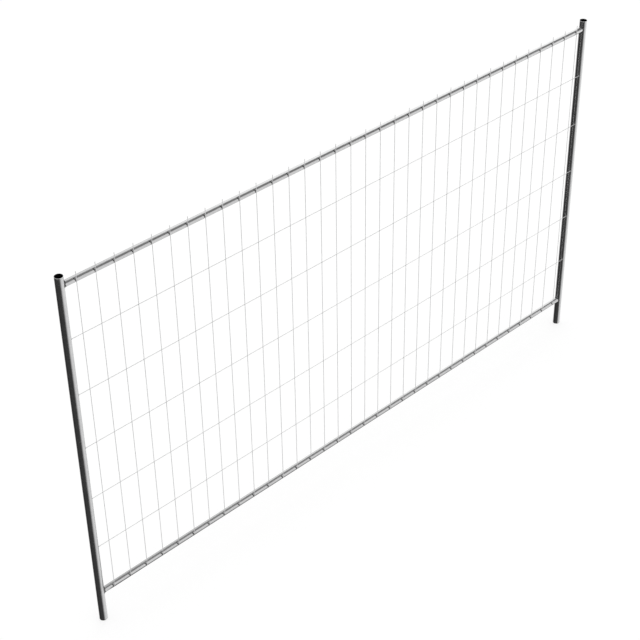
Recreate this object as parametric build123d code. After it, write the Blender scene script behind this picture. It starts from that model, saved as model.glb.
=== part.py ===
from build123d import *
import os
from math import floor

# Welded steel fence panel: two open posts, two rails coped onto them and a wire mesh.
# Sizes are in millimetres. The origin is the centre of the left post's foot, +X runs
# along the panel to the right post, +Z is up, and the wires are on the -Y side.

# Posts, which stand proud of the top rail's axis
post_spacing = 3446.0
post_diameter = 40.0
post_wall = 2.0
post_above_top_rail = 48.0

# Rails, with the height of the bottom one's axis above the feet
rail_diameter = 30.0
rail_wall = 1.5
bottom_rail_height = 174.0
rail_spacing = 1768.0

# Wire mesh: uprights on the front of the rails, rows welded to the uprights' backs
wire_diameter = 3.0
wire_sides = 6
upright_pitch = 100.0
upright_side_gap = 40.0
upright_tip_above_rail = 46.0
upright_tip_below_rail = 2.0
row_pitch = 300.0
row_rise = 296.0
row_top_gap = 100.0
mesh_weld_sink = 0.5

# Weld beads where the rails meet the posts
bead_leg = 3.0

# Worked out from the sizes above
top_rail_height = bottom_rail_height + rail_spacing
post_height = top_rail_height + post_above_top_rail
post_radius = post_diameter / 2
rail_radius = rail_diameter / 2
wire_radius = wire_diameter / 2
upright_y = -rail_radius - wire_radius
row_y = upright_y + wire_diameter - mesh_weld_sink
upright_bottom = bottom_rail_height - upright_tip_below_rail
upright_top = top_rail_height + upright_tip_above_rail
lowest_row_height = bottom_rail_height + row_rise
upright_gaps = floor((post_spacing - 2 * (post_radius + upright_side_gap)) / upright_pitch)
row_gaps = floor((top_rail_height - row_top_gap - lowest_row_height) / row_pitch)
first_upright_x = (post_spacing - upright_gaps * upright_pitch) / 2
FACING_FRONT = 180 / wire_sides


def post_envelope(x, grown=0.0):
    """Solid upright cylinder on a post's axis, used to cope what is welded to the post."""
    upright = Cylinder(post_radius + grown, post_height, align=(Align.CENTER, Align.CENTER, Align.MIN))
    return Pos(x, 0, 0) * upright


def rail_envelope(height, grown=0.0):
    """Solid cylinder on a rail's axis, from one post's axis to the other's."""
    lying = Plane.YZ * Circle(rail_radius + grown)
    return Pos(0, 0, height) * extrude(lying, amount=post_spacing)


def post(x):
    """Round tube, open at the top and at the foot."""
    bore = Cylinder(post_radius - post_wall, post_height, align=(Align.CENTER, Align.CENTER, Align.MIN))
    return post_envelope(x) - Pos(x, 0, 0) * bore


def rail(height):
    """Round tube whose two ends are saddles cut to the posts' outer faces."""
    tube = rail_envelope(height) - rail_envelope(height, -rail_wall)
    return tube - post_envelope(0) - post_envelope(post_spacing)


def weld_bead(x, height):
    """Ring of weld round a rail's saddle, with one leg along the rail and one up the post."""
    collar = rail_envelope(height, bead_leg) - rail_envelope(height)
    return (collar & post_envelope(x, bead_leg)) - post_envelope(x)


def wire_section(turn):
    """Even-sided outline of a wire, as wide across its flats as the wire is thick."""
    return RegularPolygon(wire_radius, wire_sides, major_radius=False, rotation=turn)


def upright_wire(x):
    """Vertical wire on the front of both rails, with a tip past each."""
    bar = extrude(wire_section(0), amount=upright_top - upright_bottom)
    return Pos(x, upright_y, upright_bottom) * bar


def row_wire(height):
    """Horizontal wire behind the uprights, coped onto both posts."""
    bar = extrude(Plane.YZ * wire_section(FACING_FRONT), amount=post_spacing)
    bar = Pos(0, row_y, height) * bar
    return bar - post_envelope(0) - post_envelope(post_spacing)


def wire_mesh():
    """All the wires, fused where they cross."""
    uprights = [upright_wire(first_upright_x + i * upright_pitch) for i in range(upright_gaps + 1)]
    rows = [row_wire(lowest_row_height + i * row_pitch) for i in range(row_gaps + 1)]
    return rows[0] + rows[1:] + uprights


pieces = {
    "left_post": post(0),
    "right_post": post(post_spacing),
    "top_rail": rail(top_rail_height),
    "bottom_rail": rail(bottom_rail_height),
    "wire_mesh": wire_mesh(),
    "top_left_weld": weld_bead(0, top_rail_height),
    "top_right_weld": weld_bead(post_spacing, top_rail_height),
    "bottom_left_weld": weld_bead(0, bottom_rail_height),
    "bottom_right_weld": weld_bead(post_spacing, bottom_rail_height),
}

os.makedirs("parts", exist_ok=True)
for name, piece in pieces.items():
    export_step(piece, f"parts/{name}.step")
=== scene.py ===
"""Looks of a welded steel fence panel: two open posts, two coped rails and a wire mesh."""
from math import pi, radians

import bpy
import numpy as np
from bpy.props import FloatProperty, FloatVectorProperty, IntProperty, PointerProperty
from bpy.types import NodeSocket, Operator, Panel, PropertyGroup
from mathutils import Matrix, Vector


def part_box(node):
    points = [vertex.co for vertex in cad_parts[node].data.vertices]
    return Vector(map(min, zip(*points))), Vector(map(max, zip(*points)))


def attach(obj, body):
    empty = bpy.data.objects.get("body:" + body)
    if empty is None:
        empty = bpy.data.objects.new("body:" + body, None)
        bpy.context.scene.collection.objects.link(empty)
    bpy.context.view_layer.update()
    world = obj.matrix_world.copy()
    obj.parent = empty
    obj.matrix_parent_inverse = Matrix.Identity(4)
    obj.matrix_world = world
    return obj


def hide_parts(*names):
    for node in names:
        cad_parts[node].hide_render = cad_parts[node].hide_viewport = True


bl_info = {
    "name": "Mesh Fence Panel",
    "version": (1, 0, 0),
    "blender": (4, 5, 0),
    "location": "View3D > Sidebar > Fence",
    "description": "Dresses a welded mesh fence panel: tubes, wires, welds, zinc finish and stage",
    "category": "Object",
}

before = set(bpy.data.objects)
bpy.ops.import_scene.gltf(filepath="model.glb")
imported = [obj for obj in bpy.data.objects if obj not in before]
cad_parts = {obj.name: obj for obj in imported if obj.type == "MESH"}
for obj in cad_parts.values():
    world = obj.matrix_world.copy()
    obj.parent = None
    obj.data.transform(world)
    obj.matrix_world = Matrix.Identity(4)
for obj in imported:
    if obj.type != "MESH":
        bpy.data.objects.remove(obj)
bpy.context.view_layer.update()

# What the solids say, in metres: boxes of the posts, the rails, the wire mesh and a weld
POST_LOW, POST_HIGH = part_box("left_post")
FAR_LOW, FAR_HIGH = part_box("right_post")
TOP_LOW, TOP_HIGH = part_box("top_rail")
BOTTOM_LOW, BOTTOM_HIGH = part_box("bottom_rail")
MESH_LOW, MESH_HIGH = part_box("wire_mesh")
WELD_LOW, WELD_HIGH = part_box("top_left_weld")
RAIL_RADIUS = (TOP_HIGH.z - TOP_LOW.z) / 2

UP, ALONG = 2, 0     # the axis that a wire runs along: Z or X

# Where a wire gets extra stations beside each crossing, in metres along it
PRESS_OFFSETS = np.array([-0.006, -0.003, -0.0015, 0.0, 0.0015, 0.003, 0.006])
UPRIGHT_OFFSETS = np.concatenate([[-0.03], PRESS_OFFSETS, [0.03]])

# Half widths of the spot welds along X, Y and Z
CROSSING_NUGGET = (0.0024, 0.0016, 0.0024)
RAIL_NUGGET = (0.0030, 0.0014, 0.0034)
ROW_END_NUGGET = (0.0026, 0.0024, 0.0026)
ROW_END_SINK = 0.0008     # how far a row's end reaches into the post's wall

# Dark cards that only gloss sees. Each has its height, its stops along X and its stops
# across Y. A stop is a place in metres and how dark the card is there, from 0 to 1.
CARDS = {
    "flag_above": (2.71,
                   ((-0.6, 0.0), (0.4, 0.75), (6.6, 0.75), (8.0, 0.0)),
                   ((-2.9, 0.0), (-1.9, 1.0), (-0.2, 1.0), (0.1, 0.0))),
    "flag_behind": (0.26,
                    ((0.02, 0.0), (0.12, 0.70), (3.2, 0.70), (3.4, 0.0)),
                    ((-0.006, 0.0), (0.0, 1.0), (0.02, 0.9), (0.068, 0.0))),
    "flag_below": (0.149,
                   ((0.035, 0.0), (0.075, 0.95), (0.30, 0.75), (3.2, 0.45), (3.4, 0.0)),
                   ((-0.060, 0.0), (-0.042, 1.0), (-0.016, 1.0), (-0.007, 0.0))),
}

# Directions in which the studio has its flags and patches
LEFT, RIGHT, BACK = (-1.0, 0.0, 0.0), (1.0, 0.0, 0.0), (0.0, 1.0, 0.0)
DOWN, SKY = (0.0, 0.0, -1.0), (0.0, 0.0, 1.0)


# Sizes and colours


class FencePanelSizes(PropertyGroup):
    """Sizes of the tubes, wires and welds, in metres."""

    post_radius: FloatProperty(
        name="Post radius", description="Outside radius of the posts",
        default=(POST_HIGH.x - POST_LOW.x) / 2, unit="LENGTH", precision=4)
    post_wall: FloatProperty(
        name="Post wall", description="Thickness of the posts' steel",
        default=0.002, unit="LENGTH", precision=4)
    post_height: FloatProperty(
        name="Post height", description="Length of the posts",
        default=POST_HIGH.z, unit="LENGTH")
    post_spacing: FloatProperty(
        name="Post spacing", description="Distance between the posts' axes",
        default=(FAR_LOW.x + FAR_HIGH.x) / 2, unit="LENGTH")
    rail_radius: FloatProperty(
        name="Rail radius", description="Outside radius of the rails",
        default=RAIL_RADIUS, unit="LENGTH", precision=4)
    rail_wall: FloatProperty(
        name="Rail wall", description="Thickness of the rails' steel",
        default=0.0015, unit="LENGTH", precision=4)
    top_rail_height: FloatProperty(
        name="Top rail", description="Height of the top rail's axis",
        default=(TOP_LOW.z + TOP_HIGH.z) / 2, unit="LENGTH")
    bottom_rail_height: FloatProperty(
        name="Bottom rail", description="Height of the bottom rail's axis",
        default=(BOTTOM_LOW.z + BOTTOM_HIGH.z) / 2, unit="LENGTH")
    lip: FloatProperty(
        name="Lip rounding", description="Radius on the edges of the posts' open ends",
        default=0.0005, unit="LENGTH", precision=4)
    wire_radius: FloatProperty(
        name="Wire radius", description="Radius of the mesh wires",
        default=(-MESH_LOW.y - RAIL_RADIUS) / 2, unit="LENGTH", precision=5)
    upright_count: IntProperty(
        name="Uprights", description="Number of upright wires", default=34)
    upright_pitch: FloatProperty(
        name="Upright pitch", description="Distance between upright wires",
        default=0.1, unit="LENGTH")
    row_count: IntProperty(
        name="Rows", description="Number of rows of wire", default=5)
    row_pitch: FloatProperty(
        name="Row pitch", description="Distance between rows of wire",
        default=0.3, unit="LENGTH")
    row_rise: FloatProperty(
        name="First row", description="Height of the lowest row above the bottom rail's axis",
        default=0.296, unit="LENGTH")
    weld_sink: FloatProperty(
        name="Weld sink", description="How far a row's wire is pressed into the uprights",
        default=0.0005, unit="LENGTH", precision=5)
    bead_leg: FloatProperty(
        name="Bead leg", description="Leg of the weld beads that join rails to posts",
        default=(WELD_HIGH.y - WELD_LOW.y) / 2 - RAIL_RADIUS, unit="LENGTH", precision=5)


class FencePanelFinish(PropertyGroup):
    """Colours and gloss of the zinc, the welds and the floor, and the colours of the painted
    shade, reflections and highlight.
    """

    tube_dark: FloatVectorProperty(
        name="Tube, dark grain", description="Darker tone in the tubes' zinc",
        default=(0.52, 0.52, 0.525), subtype="COLOR", min=0, max=1)
    tube_light: FloatVectorProperty(
        name="Tube, light grain", description="Lighter tone in the tubes' zinc",
        default=(0.64, 0.64, 0.64), subtype="COLOR", min=0, max=1)
    post_roughness: FloatProperty(
        name="Post roughness", description="Roughness of the posts' zinc where it is brightest",
        default=0.14, subtype="FACTOR", min=0, max=1)
    rail_roughness: FloatProperty(
        name="Rail roughness", description="Roughness of the rails' zinc where it is brightest",
        default=0.12, subtype="FACTOR", min=0, max=1)
    wire_dark: FloatVectorProperty(
        name="Wire, dark grain", description="Darker tone in the wires' zinc",
        default=(0.68, 0.68, 0.685), subtype="COLOR", min=0, max=1)
    wire_light: FloatVectorProperty(
        name="Wire, light grain", description="Lighter tone in the wires' zinc",
        default=(0.80, 0.80, 0.80), subtype="COLOR", min=0, max=1)
    wire_roughness: FloatProperty(
        name="Wire roughness", description="Roughness of the drawn wires' zinc",
        default=0.36, subtype="FACTOR", min=0, max=1)
    upright_metal: FloatProperty(
        name="Upright metal", description="How metallic the uprights' dull zinc is",
        default=0.3, subtype="FACTOR", min=0, max=1)
    row_metal: FloatProperty(
        name="Row metal", description="How metallic the rows' dull zinc is",
        default=0.8, subtype="FACTOR", min=0, max=1)
    weld_dark: FloatVectorProperty(
        name="Weld, dark", description="Darker tone of the weld metal",
        default=(0.06, 0.06, 0.06), subtype="COLOR", min=0, max=1)
    weld_light: FloatVectorProperty(
        name="Weld, light", description="Lighter tone of the weld metal",
        default=(0.17, 0.17, 0.17), subtype="COLOR", min=0, max=1)
    spot_dark: FloatVectorProperty(
        name="Spot weld, dark", description="Darker tone of the wires' spot welds",
        default=(0.36, 0.36, 0.36), subtype="COLOR", min=0, max=1)
    spot_light: FloatVectorProperty(
        name="Spot weld, light", description="Lighter tone of the wires' spot welds",
        default=(0.62, 0.62, 0.62), subtype="COLOR", min=0, max=1)
    # Painted reflection: the dark copy of each upright wire on the rails' fronts.
    wire_reflection_colour: FloatVectorProperty(
        name="Burn marks", description="Colour of the burnt zinc beside the rails' welds",
        default=(0.06, 0.06, 0.06), subtype="COLOR", min=0, max=1)
    # Painted shade: near black in the posts' bores and on their end faces.
    bore_shade_colour: FloatVectorProperty(
        name="Cut ends", description="Colour of the posts' sawn end faces and bores",
        default=(0.05, 0.05, 0.05), subtype="COLOR", min=0, max=1)
    # Painted highlight: a bright band on the outer edges of the posts' ends.
    worn_colour: FloatVectorProperty(
        name="Worn edges", description="Colour of the rubbed edges of the posts' ends",
        default=(0.8, 0.8, 0.8), subtype="COLOR", min=0, max=1)
    floor_colour: FloatVectorProperty(
        name="Floor", description="Colour of the studio floor",
        default=(0.9, 0.9, 0.9), subtype="COLOR", min=0, max=1)


def sizes():
    """The sizes that the panel in the sidebar shows."""
    return bpy.context.scene.fence_panel_sizes


def finish():
    """The colours that the panel in the sidebar shows."""
    return bpy.context.scene.fence_panel_finish


# Surfaces


def grid_quads(rows, columns, wrap_rows=False, wrap_columns=True):
    """Corner numbers of the quads of a grid of points. Its last row or column may join the
    first."""
    row = np.arange(rows if wrap_rows else rows - 1)[:, None]
    column = np.arange(columns if wrap_columns else columns - 1)[None, :]
    next_row = (row + 1) % rows
    next_column = (column + 1) % columns
    corners = (row * columns + column, row * columns + next_column,
               next_row * columns + next_column, next_row * columns + column)
    return np.stack(np.broadcast_arrays(*corners), axis=-1).reshape(-1, 4)


def end_caps(rings, sides):
    """Corner numbers of the two faces that close a tube of rings at its ends."""
    first = np.arange(sides)
    return np.stack([first[::-1], first + (rings - 1) * sides])


def points_at(x, y, z):
    """Points from their coordinates, each an array or one value for all of them."""
    return np.stack(np.broadcast_arrays(x, y, z), axis=-1)


def crossing_points(x_values, y, heights):
    """A point at each X of each height, all at one Y."""
    x, z = np.meshgrid(x_values, heights)
    return points_at(x.ravel(), y, z.ravel())


def make_piece(name, surface, material, stands_for):
    """Puts a surface's points, quads and end caps into a mesh that rides on the panel. The
    quads are smooth and the caps, which a closed ring has none of, are flat."""
    points, quads, *caps = surface
    faces = quads.tolist() + [face for ends in caps for face in ends.tolist()]
    mesh = bpy.data.meshes.new(name)
    mesh.from_pydata(points.reshape(-1, 3).tolist(), [], faces)
    smooth = np.arange(len(faces)) < len(quads)
    mesh.polygons.foreach_set("use_smooth", smooth)
    mesh.update()
    if mesh.validate():
        raise RuntimeError(f"the mesh of {name} has broken faces")
    piece = bpy.data.objects.new(name, mesh)
    bpy.context.collection.objects.link(piece)
    piece.data.materials.append(material)
    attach(piece, "root")
    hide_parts(*stands_for)
    return piece


def copies(shape, places):
    """The same shape at each place: its points moved by each place, its faces counted on."""
    points, quads, caps = shape
    step = (np.arange(len(places)) * len(points))[:, None, None]
    moved = places[:, None, :] + points[None]
    return (moved.reshape(-1, 3), (quads[None] + step).reshape(-1, quads.shape[1]),
            (caps[None] + step).reshape(-1, caps.shape[1]))


def turn(count):
    """Angles of count equal steps round a full turn."""
    return np.linspace(0, 2 * pi, count, endpoint=False)


def corner_arc(centre_radius, centre_height, radius, start, steps=6):
    """A quarter circle of a lip, from the angle start on: the centre plus the radius times
    cosine and sine."""
    angle = start + np.linspace(0, pi / 2, steps)
    return np.stack([centre_radius + radius * np.cos(angle),
                     centre_height + radius * np.sin(angle)], axis=-1)


def tube_profile(outer, inner, length, lip, steps=42):
    """Section of an open tube: up the outside, over the rounded lip, down the bore and under.
    Its heights are even, with a few more close to the lips."""
    near = np.array([0.0, 0.0003, 0.001, 0.004])
    inside = np.linspace(0, length, steps)[1:-1]
    heights = np.unique(np.concatenate([lip + near, inside, length - lip - near]))
    heights = heights[(heights >= lip) & (heights <= length - lip)][1:-1]

    def wall(radius, along):
        """A straight run of the section at one radius."""
        return np.stack([np.full_like(along, radius), along], axis=-1)

    return np.concatenate([
        wall(outer, heights),
        corner_arc(outer - lip, length - lip, lip, 0.0),
        corner_arc(inner + lip, length - lip, lip, pi / 2),
        wall(inner, heights[::-1]),
        corner_arc(inner + lip, lip, lip, pi),
        corner_arc(outer - lip, lip, lip, 1.5 * pi),
    ])


def post_surface(x, size, sides=128, seam_at=radians(200), seam_height=0.0005,
                 seam_width=0.07):
    """An open post: its section turned round the post's axis. In the bore the radius falls
    by a seam ridge, which is seam_height times a bell curve of the angle from the seam."""
    outer = size.post_radius
    inner = outer - size.post_wall
    profile = tube_profile(outer, inner, size.post_height, size.lip)
    angle = turn(sides)[None, :]
    radius, height = profile[:, :1], profile[:, 1:]
    from_seam = (angle - seam_at + pi) % (2 * pi) - pi
    in_bore = radius < inner + 1e-5
    radius = radius - in_bore * seam_height * np.exp(-(from_seam / seam_width) ** 2)
    points = points_at(x + radius * np.cos(angle), radius * np.sin(angle), height)
    return points, grid_quads(len(profile), sides, wrap_rows=True)


def rail_surface(height, size, sides=112, steps=60):
    """A rail whose ends are coped onto the posts. Round the rail, Y is its radius times the
    cosine and Z its radius times the sine of the angle. A coped end lies on the post, where
    X is the root of the post's radius squared less Y squared. Past a few stations close to
    each end, the stations are even."""
    angle = turn(sides)[None, :]
    near = np.array([0.0, 0.0004, 0.0015, 0.004, 0.007])
    middle = np.linspace(0.03, size.post_spacing - 0.06, steps)
    from_start = np.concatenate([near, middle])[:, None]
    walls = []
    for radius in (size.rail_radius, size.rail_radius - size.rail_wall):
        y = radius * np.cos(angle)
        start = np.sqrt(size.post_radius ** 2 - y ** 2)
        x = np.concatenate([start + from_start, size.post_spacing - start - near[::-1, None]])
        walls.append(points_at(x, y, height + radius * np.sin(angle)))
    outside, bore = walls
    points = np.concatenate([outside, bore[::-1]])
    return points, grid_quads(len(points), sides, wrap_rows=True)


def wire_surface(axis, stations, crossings, size, sides=14, chamfer=0.0004, shoulder=0.0003,
                 press=0.12, reach=0.0022):
    """A wire with a round section, carried straight along its axis through the stations. Its
    ends are chamfered. Where it crosses another wire, a bell curve of the distance to the
    crossing presses it flat by a share of its radius and spreads it sideways by as much."""
    ends = np.array([0.0, chamfer, chamfer + shoulder])
    along = np.unique(np.concatenate([stations[0] + ends, stations[1:-1],
                                      stations[-1] - ends[::-1]]))
    radius = np.full_like(along, size.wire_radius)
    radius[[0, -1]] -= chamfer
    gap = np.abs(along[:, None] - crossings[None, :]).min(axis=1)
    bell = np.exp(-(gap / reach) ** 2)[:, None]
    angle = turn(sides)[None, :]
    radius = radius[:, None]
    depth = radius * (1 - press * bell) * np.sin(angle)
    width = radius * (1 + press * bell) * np.cos(angle)
    along = along[:, None]
    if axis == UP:
        points = points_at(width, depth, along)
    else:
        points = points_at(along, -depth, width)
    count = len(points)
    return points.reshape(-1, 3), grid_quads(count, sides), end_caps(count, sides)


def around(crossings, low, high, offsets, margin=0.001):
    """Stations along a wire: its ends, and a few on each side of every crossing. None but
    the ends lies within the margin of an end."""
    inner = (crossings[:, None] + offsets[None, :]).ravel()
    inner = inner[(inner > low + margin) & (inner < high - margin)]
    return np.concatenate([[low], np.sort(inner), [high]])


def nugget(half_widths, sides=8, rings=5, top=0.42 * pi):
    """A flattened ball of weld metal: its half widths times cosine and sine of latitude and
    longitude, and flat tops in place of its poles."""
    half_x, half_y, half_z = half_widths
    latitude = np.linspace(-top, top, rings)[:, None]
    longitude = turn(sides)[None, :]
    points = points_at(half_x * np.cos(latitude) * np.sin(longitude),
                       half_y * np.sin(latitude),
                       half_z * np.cos(latitude) * np.cos(longitude))
    return points.reshape(-1, 3), grid_quads(rings, sides), end_caps(rings, sides)


def bead_surface(height, size, flip, sides=240, steps=11, ripples=34, swell=1.4, sunk=0.0006):
    """A weld bead round a coped joint. Its face is a swelling arc from the post to the rail:
    the two distances from the corner are powers of the cosine and sine of one angle. Along
    the joint the face rises and falls with a ripple that leans back across the bead, and
    with two slower waves. The bead's back lies inside the steel. The far post's bead is the
    mirrored form, with its waves shifted."""
    angle = turn(sides)[None, :]
    face = np.linspace(0, pi / 2, steps)[:, None]
    swelling = np.sin(2 * face)
    ripple = np.abs(np.sin(ripples / 2 * angle + 1.1 * swelling)) ** 0.5
    slow = 0.06 * np.sin(3 * angle + 0.7 + flip) + 0.04 * np.sin(7 * angle + 2.1 * flip)
    scale = 1 + slow + (0.24 * ripple - 0.16) * swelling
    off_post = size.bead_leg * np.sin(face) ** (2 / swell) * scale
    off_rail = size.bead_leg * np.cos(face) ** (2 / swell) * scale
    inside = np.full_like(off_post[-1:], -sunk)
    off_post = np.concatenate([off_post, off_post[-1:], inside, inside])
    off_rail = np.concatenate([off_rail, inside, inside, off_rail[:1]])
    radius = size.rail_radius + off_rail
    y = radius * np.cos(angle)
    x = np.sqrt(size.post_radius ** 2 - y ** 2) + off_post
    if flip:
        x = size.post_spacing - x
    points = points_at(x, y, height + radius * np.sin(angle))
    if flip:
        points = points[::-1]
    return points, grid_quads(len(points), sides, wrap_rows=True)


# Shader steps


def feed(tree, value, socket):
    """Links a socket to an input, or sets the input to a plain value."""
    if isinstance(value, NodeSocket):
        tree.links.new(value, socket)
    else:
        socket.default_value = value


def add_node(tree, kind, links=None, **settings):
    """A shader node with its settings, its inputs' values or the sockets that feed them."""
    node = tree.nodes.new(kind)
    for name, value in settings.items():
        setattr(node, name, value)
    for name, value in (links or {}).items():
        feed(tree, value, node.inputs[name])
    return node


def maths(tree, operation, a, b=0.0, clamp=False):
    """One step of arithmetic between two values or sockets."""
    return add_node(tree, "ShaderNodeMath", {0: a, 1: b}, operation=operation,
                    use_clamp=clamp).outputs[0]


def plus(tree, a, b, clamp=False):
    """The sum of two values."""
    return maths(tree, "ADD", a, b, clamp)


def minus(tree, a, b):
    """One value less another."""
    return maths(tree, "SUBTRACT", a, b)


def times(tree, a, b):
    """The product of two values."""
    return maths(tree, "MULTIPLY", a, b)


def ranged(tree, value, low, high, to_low=0.0, to_high=1.0, smooth=False):
    """A value carried from one range to another."""
    return add_node(tree, "ShaderNodeMapRange",
                    {"Value": value, "From Min": low, "From Max": high,
                     "To Min": to_low, "To Max": to_high},
                    interpolation_type="SMOOTHSTEP" if smooth else "LINEAR").outputs["Result"]


def stepped(tree, value, stops):
    """A value carried along straight lines from stop to stop, each a place and a height."""
    height = stops[0][1]
    for (start, low), (end, high) in zip(stops, stops[1:]):
        height = plus(tree, ranged(tree, value, start, end, 0.0, high - low), height)
    return height


def noise(tree, coordinates, scale, detail=3.0, roughness=0.5):
    """Noise of the given scale over the coordinates."""
    return add_node(tree, "ShaderNodeTexNoise",
                    {"Vector": coordinates, "Scale": scale, "Detail": detail,
                     "Roughness": roughness}).outputs["Fac"]


def stretched(tree, coordinates, scale):
    """The coordinates scaled by a different amount along each axis."""
    return add_node(tree, "ShaderNodeMapping",
                    {"Vector": coordinates, "Scale": scale}).outputs["Vector"]


def axes(tree, coordinates):
    """X, Y and Z of the coordinates, one by one."""
    parts = add_node(tree, "ShaderNodeSeparateXYZ", {"Vector": coordinates}).outputs
    return parts["X"], parts["Y"], parts["Z"]


def grey(level):
    """A grey of that level, with its alpha."""
    return (level, level, level, 1.0)


def blend(tree, factor, first, second):
    """A colour between two others, each plain or from a socket."""
    node = add_node(tree, "ShaderNodeMix", {"Factor": factor}, data_type="RGBA")
    inputs = [socket for socket in node.inputs if socket.type == "RGBA"]
    for colour, socket in zip((first, second), inputs):
        feed(tree, colour if isinstance(colour, NodeSocket) else (*colour[:3], 1.0), socket)
    return next(output for output in node.outputs if output.type == "RGBA")


def bare_material(name):
    """An empty material and its tree."""
    material = bpy.data.materials.new(name)
    material.use_nodes = True
    material.node_tree.nodes.clear()
    return material, material.node_tree


def show(tree, shader, output="ShaderNodeOutputMaterial"):
    """Makes a shader the surface of its material, or of its world."""
    tree.links.new(shader, add_node(tree, output).inputs["Surface"])


def between_shaders(tree, factor, first, second):
    """A shader between two others."""
    return add_node(tree, "ShaderNodeMixShader",
                    {0: factor, 1: first.outputs[0], 2: second.outputs[0]}).outputs[0]


def bumped(tree, shader, height, strength, distance):
    """Gives a surface a fine relief of that height."""
    bump = add_node(tree, "ShaderNodeBump",
                    {"Height": height, "Strength": strength, "Distance": distance})
    tree.links.new(bump.outputs["Normal"], shader.inputs["Normal"])


# Places on a piece, as shader values


def from_axis(tree, place, size):
    """Distance of a point of a post from that post's axis."""
    x, y, _ = axes(tree, place)
    far = maths(tree, "GREATER_THAN", x, size.post_spacing / 2)
    across = minus(tree, x, times(tree, far, size.post_spacing))
    return maths(tree, "SQRT", plus(tree, times(tree, across, across), times(tree, y, y)))


def lip_radii(size):
    """The radii on a post's lip between which the painted shade of its bore gives way to its
    outside's zinc.
    """
    return size.post_radius - 1.2 * size.lip, size.post_radius - 0.8 * size.lip


def painted_bore_shade(tree, place):
    """1 in a post's bore and on its sawn end faces, which get a near-black painted shade, 0 on its
    outside.
    """
    size = sizes()
    inner, outer = lip_radii(size)
    return ranged(tree, from_axis(tree, place, size), outer, inner)


def worn_edge(tree, place, fades_at=0.0018, full_at=0.0010):
    """1 on the outer edges of a post's two ends, where a bright, dull band is painted on as a
    highlight, 0 elsewhere. The two depths are measured from the end."""
    size = sizes()
    inner, outer = lip_radii(size)
    height = axes(tree, place)[2]
    top = ranged(tree, height, size.post_height - fades_at, size.post_height - full_at)
    foot = ranged(tree, height, fades_at, full_at)
    outside = ranged(tree, from_axis(tree, place, size), inner, outer)
    return times(tree, maths(tree, "MAXIMUM", top, foot), outside)


def above_axis(tree, z, size):
    """Height of a point of a rail above that rail's axis."""
    is_top = maths(tree, "GREATER_THAN", z, size.post_height / 2)
    rise = times(tree, is_top, size.top_rail_height - size.bottom_rail_height)
    return minus(tree, z, plus(tree, size.bottom_rail_height, rise))


def painted_wire_reflection(tree, place, lean=-0.55, pivot=0.004, raggedness=0.004,
               side=(0.0062, 0.0030), top=(0.0145, 0.0110), bottom=(-0.0100, -0.0060)):
    """1 in the painted reflection of each upright wire on a rail, 0 elsewhere: a dark, soft
    slanted patch on the rail's front beside the wire's weld, which leans away from the wire as it
    rises. Each pair says where the patch has faded out and where it is full."""
    size = sizes()
    x, y, z = axes(tree, place)
    pitch = size.upright_pitch
    steps = maths(tree, "DIVIDE", minus(tree, x, upright_places(size)[0] - pitch / 2), pitch)
    across = times(tree, minus(tree, maths(tree, "FRACT", steps), 0.5), pitch)
    height = above_axis(tree, z, size)
    centre = times(tree, plus(tree, height, pivot), lean)
    aside = maths(tree, "ABSOLUTE", minus(tree, across, centre))
    ragged = times(tree, noise(tree, place, 260.0, detail=4.0), raggedness)
    # Painted reflection of the upright wire in the rail's round front.
    patch = ranged(tree, plus(tree, aside, ragged), *side, smooth=True)
    above = ranged(tree, height, *top, smooth=True)
    below = ranged(tree, height, *bottom, smooth=True)
    front = maths(tree, "LESS_THAN", y, 0.0)
    return times(tree, times(tree, patch, above), times(tree, below, front))


def painted_joint_shade(tree, place, raggedness=0.003, sag_from=0.006, sag_to=-0.010, sag=0.005,
                past_bead=(0.0055, 0.0025)):
    """1 in the painted shade by the beads at a rail's two ends, 0 elsewhere. The saddle of
    a coped end lies where X is the root of the post's radius squared less Y squared, and the
    painted shade reaches further from it, by the sag, on the rail's underside. The last pair says
    how far past the bead it has faded out and is full."""
    size = sizes()
    x, y, z = axes(tree, place)
    saddle = maths(tree, "SQRT", minus(tree, size.post_radius ** 2, times(tree, y, y)))
    from_end = maths(tree, "MINIMUM", x, minus(tree, size.post_spacing, x))
    ragged = times(tree, noise(tree, place, 180.0, detail=4.0), raggedness)
    along = plus(tree, minus(tree, from_end, saddle), ragged)
    # Painted shade, which reaches further on the rail's underside.
    lower = ranged(tree, above_axis(tree, z, size), sag_from, sag_to, 0.0, sag)
    faded, full = (size.bead_leg + reach for reach in past_bead)
    return ranged(tree, minus(tree, along, lower), faded, full, smooth=True)


def wire_reflection_and_joint_shade(tree, place):
    """The painted reflections of the uprights beside their spot welds and the painted shade by the
    beads together.
    """
    return maths(tree, "MAXIMUM", painted_wire_reflection(tree, place), painted_joint_shade(tree, place))


# Finishes


def new_material(name):
    """A material with its tree, its surface shader and its Object coordinates."""
    material, tree = bare_material(name)
    shader = add_node(tree, "ShaderNodeBsdfPrincipled")
    show(tree, shader.outputs["BSDF"])
    place = add_node(tree, "ShaderNodeTexCoord").outputs["Object"]
    return material, tree, shader, place


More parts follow.
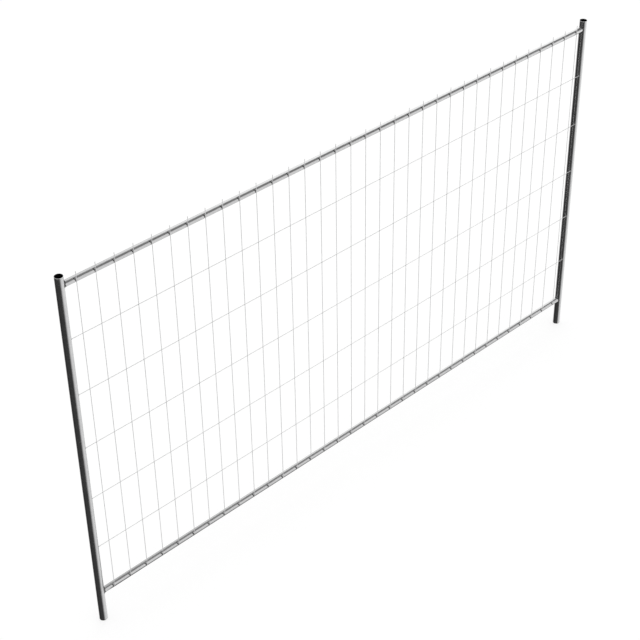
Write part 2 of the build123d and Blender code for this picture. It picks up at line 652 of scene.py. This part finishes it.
def zinc(name, dark, light, roughness, lines, grain=105.0, metal=1.0, marks=None,
         mark_colour=None, worn=None, worn_colour=None, worn_metal=0.25):
    """Hot-dip zinc: crystals of slightly different tone and gloss, cloudy dull patches, fine
    drawing lines along the steel and a faint unevenness of the coat. Each part of it adds
    its share to the tone, the roughness or the relief. It may also take a dark mask of painted
    shade and painted reflection, and a painted highlight on edges."""
    material, tree, shader, place = new_material(name)
    crystals = add_node(tree, "ShaderNodeTexVoronoi", {"Vector": place, "Scale": grain})
    crystal = add_node(tree, "ShaderNodeSeparateColor",
                       {"Color": crystals.outputs["Color"]}).outputs["Red"]
    clouds = noise(tree, place, 14.0, detail=5.0, roughness=0.6)
    drawn = noise(tree, stretched(tree, place, lines), 1.0, detail=2.0)
    dull = ranged(tree, noise(tree, place, 4.0, detail=6.0, roughness=0.65), 0.48, 0.68)

    tone = plus(tree, times(tree, crystal, 0.4), times(tree, clouds, 0.6))
    tone = plus(tree, tone, ranged(tree, drawn, 0.35, 0.65, -0.15, 0.15), clamp=True)
    colour = blend(tree, tone, dark, light)
    rough = plus(tree, times(tree, dull, 0.10), times(tree, crystal, 0.06))
    # marks, when given, masks painted shade in the posts, and painted reflections and shade in the
    # rails. It is laid on in its own dark colour, a little rougher.
    if marks:
        mark = marks(tree, place)
        colour = blend(tree, mark, colour, mark_colour)
        rough = plus(tree, rough, times(tree, mark, 0.25))
    # A painted highlight on the posts' rims: a bright, less metallic band.
    if worn:
        edge = worn(tree, place)
        colour = blend(tree, edge, colour, worn_colour)
        metal = ranged(tree, edge, 0.0, 1.0, metal, worn_metal)
    rough = plus(tree, rough, ranged(tree, drawn, 0.3, 0.7, 0.0, 0.05))
    feed(tree, colour, shader.inputs["Base Color"])
    feed(tree, metal, shader.inputs["Metallic"])
    feed(tree, plus(tree, rough, roughness), shader.inputs["Roughness"])
    relief = plus(tree, noise(tree, place, 60.0), times(tree, drawn, 0.12))
    bumped(tree, shader, relief, strength=0.25, distance=0.0002)
    return material


def weld_finish(name, dark, light):
    """Weld metal under zinc: darker, duller and grainier than the tubes."""
    material, tree, shader, place = new_material(name)
    coarse = noise(tree, place, 160.0, detail=5.0, roughness=0.6)
    fine = noise(tree, place, 1400.0, detail=3.0)
    grain = plus(tree, times(tree, coarse, 0.7), times(tree, fine, 0.3))
    tone = ranged(tree, grain, 0.35, 0.65)
    feed(tree, blend(tree, tone, dark, light), shader.inputs["Base Color"])
    feed(tree, 1.0, shader.inputs["Metallic"])
    feed(tree, ranged(tree, coarse, 0.3, 0.7, 0.42, 0.24), shader.inputs["Roughness"])
    bumped(tree, shader, fine, strength=0.3, distance=0.0001)
    return material


def finish_once(kind, name, *tones, **settings):
    """The material of that name, made by its kind the first time that it is asked for."""
    return bpy.data.materials.get(name) or kind(name, *tones, **settings)


def post_zinc():
    """The posts' zinc, drawn along Z, with painted shade in the bore and on the end faces, and a
    painted highlight on the ends' outer edges.
    """
    look = finish()
    return finish_once(zinc, "post_zinc", look.tube_dark, look.tube_light,
                       look.post_roughness, (700.0, 700.0, 5.0), marks=painted_bore_shade,
                       mark_colour=look.bore_shade_colour, worn=worn_edge,
                       worn_colour=look.worn_colour)


def rail_zinc():
    """The rails' zinc, drawn along X, with painted reflections of the uprights beside their welds
    and painted shade by the beads.
    """
    look = finish()
    return finish_once(zinc, "rail_zinc", look.tube_dark, look.tube_light,
                       look.rail_roughness, (5.0, 700.0, 700.0), marks=wire_reflection_and_joint_shade,
                       mark_colour=look.wire_reflection_colour)


def upright_zinc():
    """The upright wires' zinc, drawn along Z."""
    look = finish()
    return finish_once(zinc, "upright_zinc", look.wire_dark, look.wire_light,
                       look.wire_roughness, (2400.0, 2400.0, 8.0), grain=400.0,
                       metal=look.upright_metal)


def row_zinc():
    """The rows' zinc, drawn along X."""
    look = finish()
    return finish_once(zinc, "row_zinc", look.wire_dark, look.wire_light,
                       look.wire_roughness, (8.0, 2400.0, 2400.0), grain=400.0,
                       metal=look.row_metal)


def weld_zinc():
    """The dark metal of the beads."""
    return finish_once(weld_finish, "weld_zinc", finish().weld_dark, finish().weld_light)


def spot_zinc():
    """The lighter metal of the wires' spot welds."""
    return finish_once(weld_finish, "spot_zinc", finish().spot_dark, finish().spot_light)


# Places of the wires


def upright_places(size):
    """X of each upright wire, in one row centred between the posts."""
    first = (size.post_spacing - (size.upright_count - 1) * size.upright_pitch) / 2
    return first + np.arange(size.upright_count) * size.upright_pitch


def row_places(size):
    """Height of each row of wire."""
    return size.bottom_rail_height + size.row_rise + np.arange(size.row_count) * size.row_pitch


def rail_heights(size):
    """Heights of the rails' axes."""
    return np.array([size.bottom_rail_height, size.top_rail_height])


def upright_line(size):
    """Y of the uprights' axes: in front of the rails, touching them."""
    return -(size.rail_radius + size.wire_radius)


def row_line(size):
    """Y of the rows' axes: behind the uprights, pressed into them."""
    return upright_line(size) + 2 * size.wire_radius - size.weld_sink


def row_end(size):
    """X at which a row meets the left post."""
    return np.sqrt(size.post_radius ** 2 - row_line(size) ** 2)


# Operators


class FENCE_OT_posts(Operator):
    """Make the two open posts"""

    bl_idname = "fence_panel.posts"
    bl_label = "Posts"

    def execute(self, context):
        size = sizes()
        for name, x in (("left_post", 0.0), ("right_post", size.post_spacing)):
            make_piece(f"{name}_tube", post_surface(x, size), post_zinc(),
                       (name,))
        return {"FINISHED"}


class FENCE_OT_rails(Operator):
    """Make the two rails, coped onto the posts"""

    bl_idname = "fence_panel.rails"
    bl_label = "Rails"

    def execute(self, context):
        size = sizes()
        for name, height in (("top_rail", size.top_rail_height),
                             ("bottom_rail", size.bottom_rail_height)):
            make_piece(f"{name}_tube", rail_surface(height, size), rail_zinc(),
                       (name,))
        return {"FINISHED"}


class FENCE_OT_joint_welds(Operator):
    """Make the rippled weld beads that join the rails to the posts"""

    bl_idname = "fence_panel.joint_welds"
    bl_label = "Joint welds"

    def execute(self, context):
        size = sizes()
        for level, height in (("top", size.top_rail_height),
                              ("bottom", size.bottom_rail_height)):
            for side, flip in (("left", False), ("right", True)):
                name = f"{level}_{side}_weld"
                make_piece(f"{name}_bead", bead_surface(height, size, flip), weld_zinc(),
                           (name,))
        return {"FINISHED"}


class FENCE_OT_uprights(Operator):
    """Make the upright wires"""

    bl_idname = "fence_panel.uprights"
    bl_label = "Upright wires"

    def execute(self, context):
        size = sizes()
        crossings = np.sort(np.concatenate([rail_heights(size), row_places(size)]))
        stations = around(crossings, MESH_LOW.z, MESH_HIGH.z, UPRIGHT_OFFSETS)
        places = points_at(upright_places(size), upright_line(size), 0.0)
        wires = copies(wire_surface(UP, stations, crossings, size), places)
        make_piece("upright_wires", wires, upright_zinc(), ("wire_mesh",))
        return {"FINISHED"}


class FENCE_OT_rows(Operator):
    """Make the rows of wire"""

    bl_idname = "fence_panel.rows"
    bl_label = "Rows of wire"

    def execute(self, context):
        size = sizes()
        crossings = upright_places(size)
        end = row_end(size) - ROW_END_SINK
        stations = around(crossings, end, size.post_spacing - end, PRESS_OFFSETS)
        places = points_at(0.0, row_line(size), row_places(size))
        wires = copies(wire_surface(ALONG, stations, crossings, size), places)
        make_piece("row_wires", wires, row_zinc(), ("wire_mesh",))
        return {"FINISHED"}


class FENCE_OT_spot_welds(Operator):
    """Make the small welds where wires cross each other, the rails and the posts"""

    bl_idname = "fence_panel.spot_welds"
    bl_label = "Spot welds"

    def execute(self, context):
        size = sizes()
        uprights, rows, end = upright_places(size), row_places(size), row_end(size)
        between = (upright_line(size) + row_line(size)) / 2
        welds = (
            ("crossing_welds", nugget(CROSSING_NUGGET),
             crossing_points(uprights, between, rows)),
            ("rail_spot_welds", nugget(RAIL_NUGGET),
             crossing_points(uprights, -size.rail_radius, rail_heights(size))),
            ("row_end_welds", nugget(ROW_END_NUGGET, sides=12, rings=7),
             crossing_points([end, size.post_spacing - end], row_line(size), rows)),
        )
        for name, shape, places in welds:
            make_piece(name, copies(shape, places), spot_zinc(),
                       ("wire_mesh",))
        return {"FINISHED"}


class FENCE_OT_stage(Operator):
    """Make the floor, the studio light and the camera"""

    bl_idname = "fence_panel.stage"
    bl_label = "Stage"

    def execute(self, context):
        make_floor()
        make_flags()
        make_world()
        make_lamps()
        make_camera()
        return {"FINISHED"}


OPERATORS = (FENCE_OT_posts, FENCE_OT_rails, FENCE_OT_joint_welds, FENCE_OT_uprights,
             FENCE_OT_rows, FENCE_OT_spot_welds, FENCE_OT_stage)


# Stage


def level_sheet(name, x_values, y_values, height):
    """A level sheet with corners at each X and Y."""
    x, y = np.meshgrid(x_values, y_values)
    points = points_at(x, y, height).reshape(-1, 3)
    quads = grid_quads(len(y_values), len(x_values), wrap_columns=False)
    mesh = bpy.data.meshes.new(name)
    mesh.from_pydata(points.tolist(), [], quads.tolist())
    sheet = bpy.data.objects.new(name, mesh)
    bpy.context.collection.objects.link(sheet)
    return sheet


def seen_ray(tree):
    """1 for a camera, glossy or transmission ray, and 0 for light that falls on things."""
    path = add_node(tree, "ShaderNodeLightPath").outputs
    either = plus(tree, path["Is Camera Ray"], path["Is Glossy Ray"])
    return plus(tree, either, path["Is Transmission Ray"], clamp=True)


def make_floor(half=60.0, below=0.0005, glow=0.66, thin=0.4):
    """A pale floor that keeps the panel's shadow and that gloss doesn't see. What the camera
    sees of it is partly its own light, so that it reads as the white of the background."""
    lines = np.linspace(-half, half, 9)
    floor = level_sheet("studio_floor", lines, lines, -below)
    floor.visible_glossy = False
    material, tree = bare_material("floor_paint")
    paint = add_node(tree, "ShaderNodeBsdfDiffuse", {"Color": (*finish().floor_colour, 1.0)})
    thin_paint = add_node(tree, "ShaderNodeBsdfDiffuse", {"Color": grey(thin)})
    own_light = add_node(tree, "ShaderNodeEmission", {"Color": grey(glow)})
    seen = add_node(tree, "ShaderNodeAddShader",
                    {0: thin_paint.outputs[0], 1: own_light.outputs[0]})
    show(tree, between_shaders(tree, seen_ray(tree), paint, seen))
    floor.data.materials.append(material)


def make_card(name, height, along, across, shade=0.045):
    """A level dark card, as dark as its stops along X times its stops across Y say."""
    columns, rows = ([stop[0] for stop in stops] for stops in (along, across))
    card = level_sheet(name, columns, rows, height)
    card.visible_camera = False
    card.visible_diffuse = False
    card.visible_shadow = False
    card.visible_transmission = False
    material, tree = bare_material(name)
    x, y, _ = axes(tree, add_node(tree, "ShaderNodeTexCoord").outputs["Object"])
    depth = times(tree, stepped(tree, x, along), stepped(tree, y, across))
    clear = add_node(tree, "ShaderNodeBsdfTransparent")
    dark = add_node(tree, "ShaderNodeEmission", {"Color": grey(shade)})
    show(tree, between_shaders(tree, depth, clear, dark))
    card.data.materials.append(material)


def make_flags():
    """Three dark cards that only gloss sees: a broad one above the panel and in front of it,
    whose edges the rails show as their dark line, and two narrow ones along the bottom rail,
    close over it and close under it."""
    for name, (height, along, across) in CARDS.items():
        make_card(name, height, along, across)


def make_world(light=0.85, shade=0.06, bright=1.25, dim=0.74):
    """A white studio with two dark flags in it, which bright metal shows as its dark sides:
    one low on the left, and one straight to the left from the horizon up. What is seen low
    on the right is brighter, and what gloss sees to the left and behind is dimmer."""
    world = bpy.data.worlds.new("studio")
    bpy.context.scene.world = world
    world.use_nodes = True
    tree = world.node_tree
    tree.nodes.clear()
    direction = add_node(tree, "ShaderNodeTexCoord").outputs["Generated"]

    def facing(way, low, high):
        """0 where the cosine between a direction and the way is under low, 1 over high."""
        dot = add_node(tree, "ShaderNodeVectorMath", {0: direction, 1: way},
                       operation="DOT_PRODUCT").outputs["Value"]
        return ranged(tree, dot, low, high, smooth=True)

    left_flag = times(tree, facing(LEFT, -0.36, 0.36), facing(DOWN, 0.08, 0.25))
    end_flag = times(tree, facing(LEFT, 0.76, 0.84), facing(SKY, -0.05, 0.15))
    flags = maths(tree, "MAXIMUM", left_flag, end_flag)
    low_right = times(tree, facing(RIGHT, 0.58, 0.74),
                      times(tree, facing(DOWN, 0.0, 0.2), facing(SKY, -0.60, -0.48)))
    left_back = times(tree, facing(LEFT, -0.66, -0.34), facing(BACK, 0.0, 0.3))
    left_back = times(tree, left_back,
                      add_node(tree, "ShaderNodeLightPath").outputs["Is Glossy Ray"])
    strength = times(tree, ranged(tree, low_right, 0.0, 1.0, 1.0, bright),
                     ranged(tree, left_back, 0.0, 1.0, 1.0, dim))
    background = add_node(tree, "ShaderNodeBackground",
                          {"Color": blend(tree, flags, grey(1.0), grey(shade)),
                           "Strength": strength})
    lighting = add_node(tree, "ShaderNodeBackground", {"Color": grey(1.0), "Strength": light})
    show(tree, between_shaders(tree, seen_ray(tree), lighting, background),
         "ShaderNodeOutputWorld")


def make_lamps():
    """One broad soft lamp high behind the panel on the right."""
    lamp = bpy.data.lights.new("key_lamp", "SUN")
    lamp.energy = 0.35
    lamp.angle = radians(60)
    key = bpy.data.objects.new("key_lamp", lamp)
    bpy.context.collection.objects.link(key)
    towards = np.array([0.8, 0.42, 0.42])
    key.rotation_mode = "XYZ"
    key.rotation_euler = (np.arccos(towards[2] / np.linalg.norm(towards)), 0.0,
                          np.arctan2(towards[1], towards[0]) + pi / 2)


def make_camera():
    """The camera at the photograph's viewing angle."""
    camera = bpy.data.cameras.new("photo_camera")
    camera.lens = 87.009
    camera.sensor_width = 36.0
    camera.shift_y = -0.0422
    camera.clip_end = 200.0
    holder = bpy.data.objects.new("photo_camera", camera)
    bpy.context.collection.objects.link(holder)
    holder.location = (-2.8334, -4.5482, 5.5266)
    holder.rotation_euler = (radians(55.2541), radians(0.77), radians(-43.9648))
    bpy.context.scene.camera = holder
    bpy.context.scene.view_settings.view_transform = "Standard"


# Sidebar panel and start


class FENCE_PT_panel(Panel):
    """Lists the fence panel's sizes, finishes and operators"""

    bl_idname = "FENCE_PT_panel"
    bl_label = "Fence Panel"
    bl_space_type = "VIEW_3D"
    bl_region_type = "UI"
    bl_category = "Fence"

    def draw(self, context):
        for group in (sizes(), finish()):
            column = self.layout.column(align=True)
            for name in group.__annotations__:
                column.prop(group, name)
        column = self.layout.column(align=True)
        for operator in OPERATORS:
            column.operator(operator.bl_idname)


CLASSES = (FencePanelSizes, FencePanelFinish, *OPERATORS, FENCE_PT_panel)


def register():
    """Makes the groups, the operators and the panel known."""
    for each in CLASSES:
        bpy.utils.register_class(each)
    bpy.types.Scene.fence_panel_sizes = PointerProperty(type=FencePanelSizes)
    bpy.types.Scene.fence_panel_finish = PointerProperty(type=FencePanelFinish)


def unregister():
    """Takes them away again."""
    del bpy.types.Scene.fence_panel_finish
    del bpy.types.Scene.fence_panel_sizes
    for each in reversed(CLASSES):
        bpy.utils.unregister_class(each)


def main():
    """Makes every piece and the stage."""
    register()
    for operator in OPERATORS:
        group, name = operator.bl_idname.split(".")
        getattr(getattr(bpy.ops, group), name)()


if __name__ == "__main__":
    main()
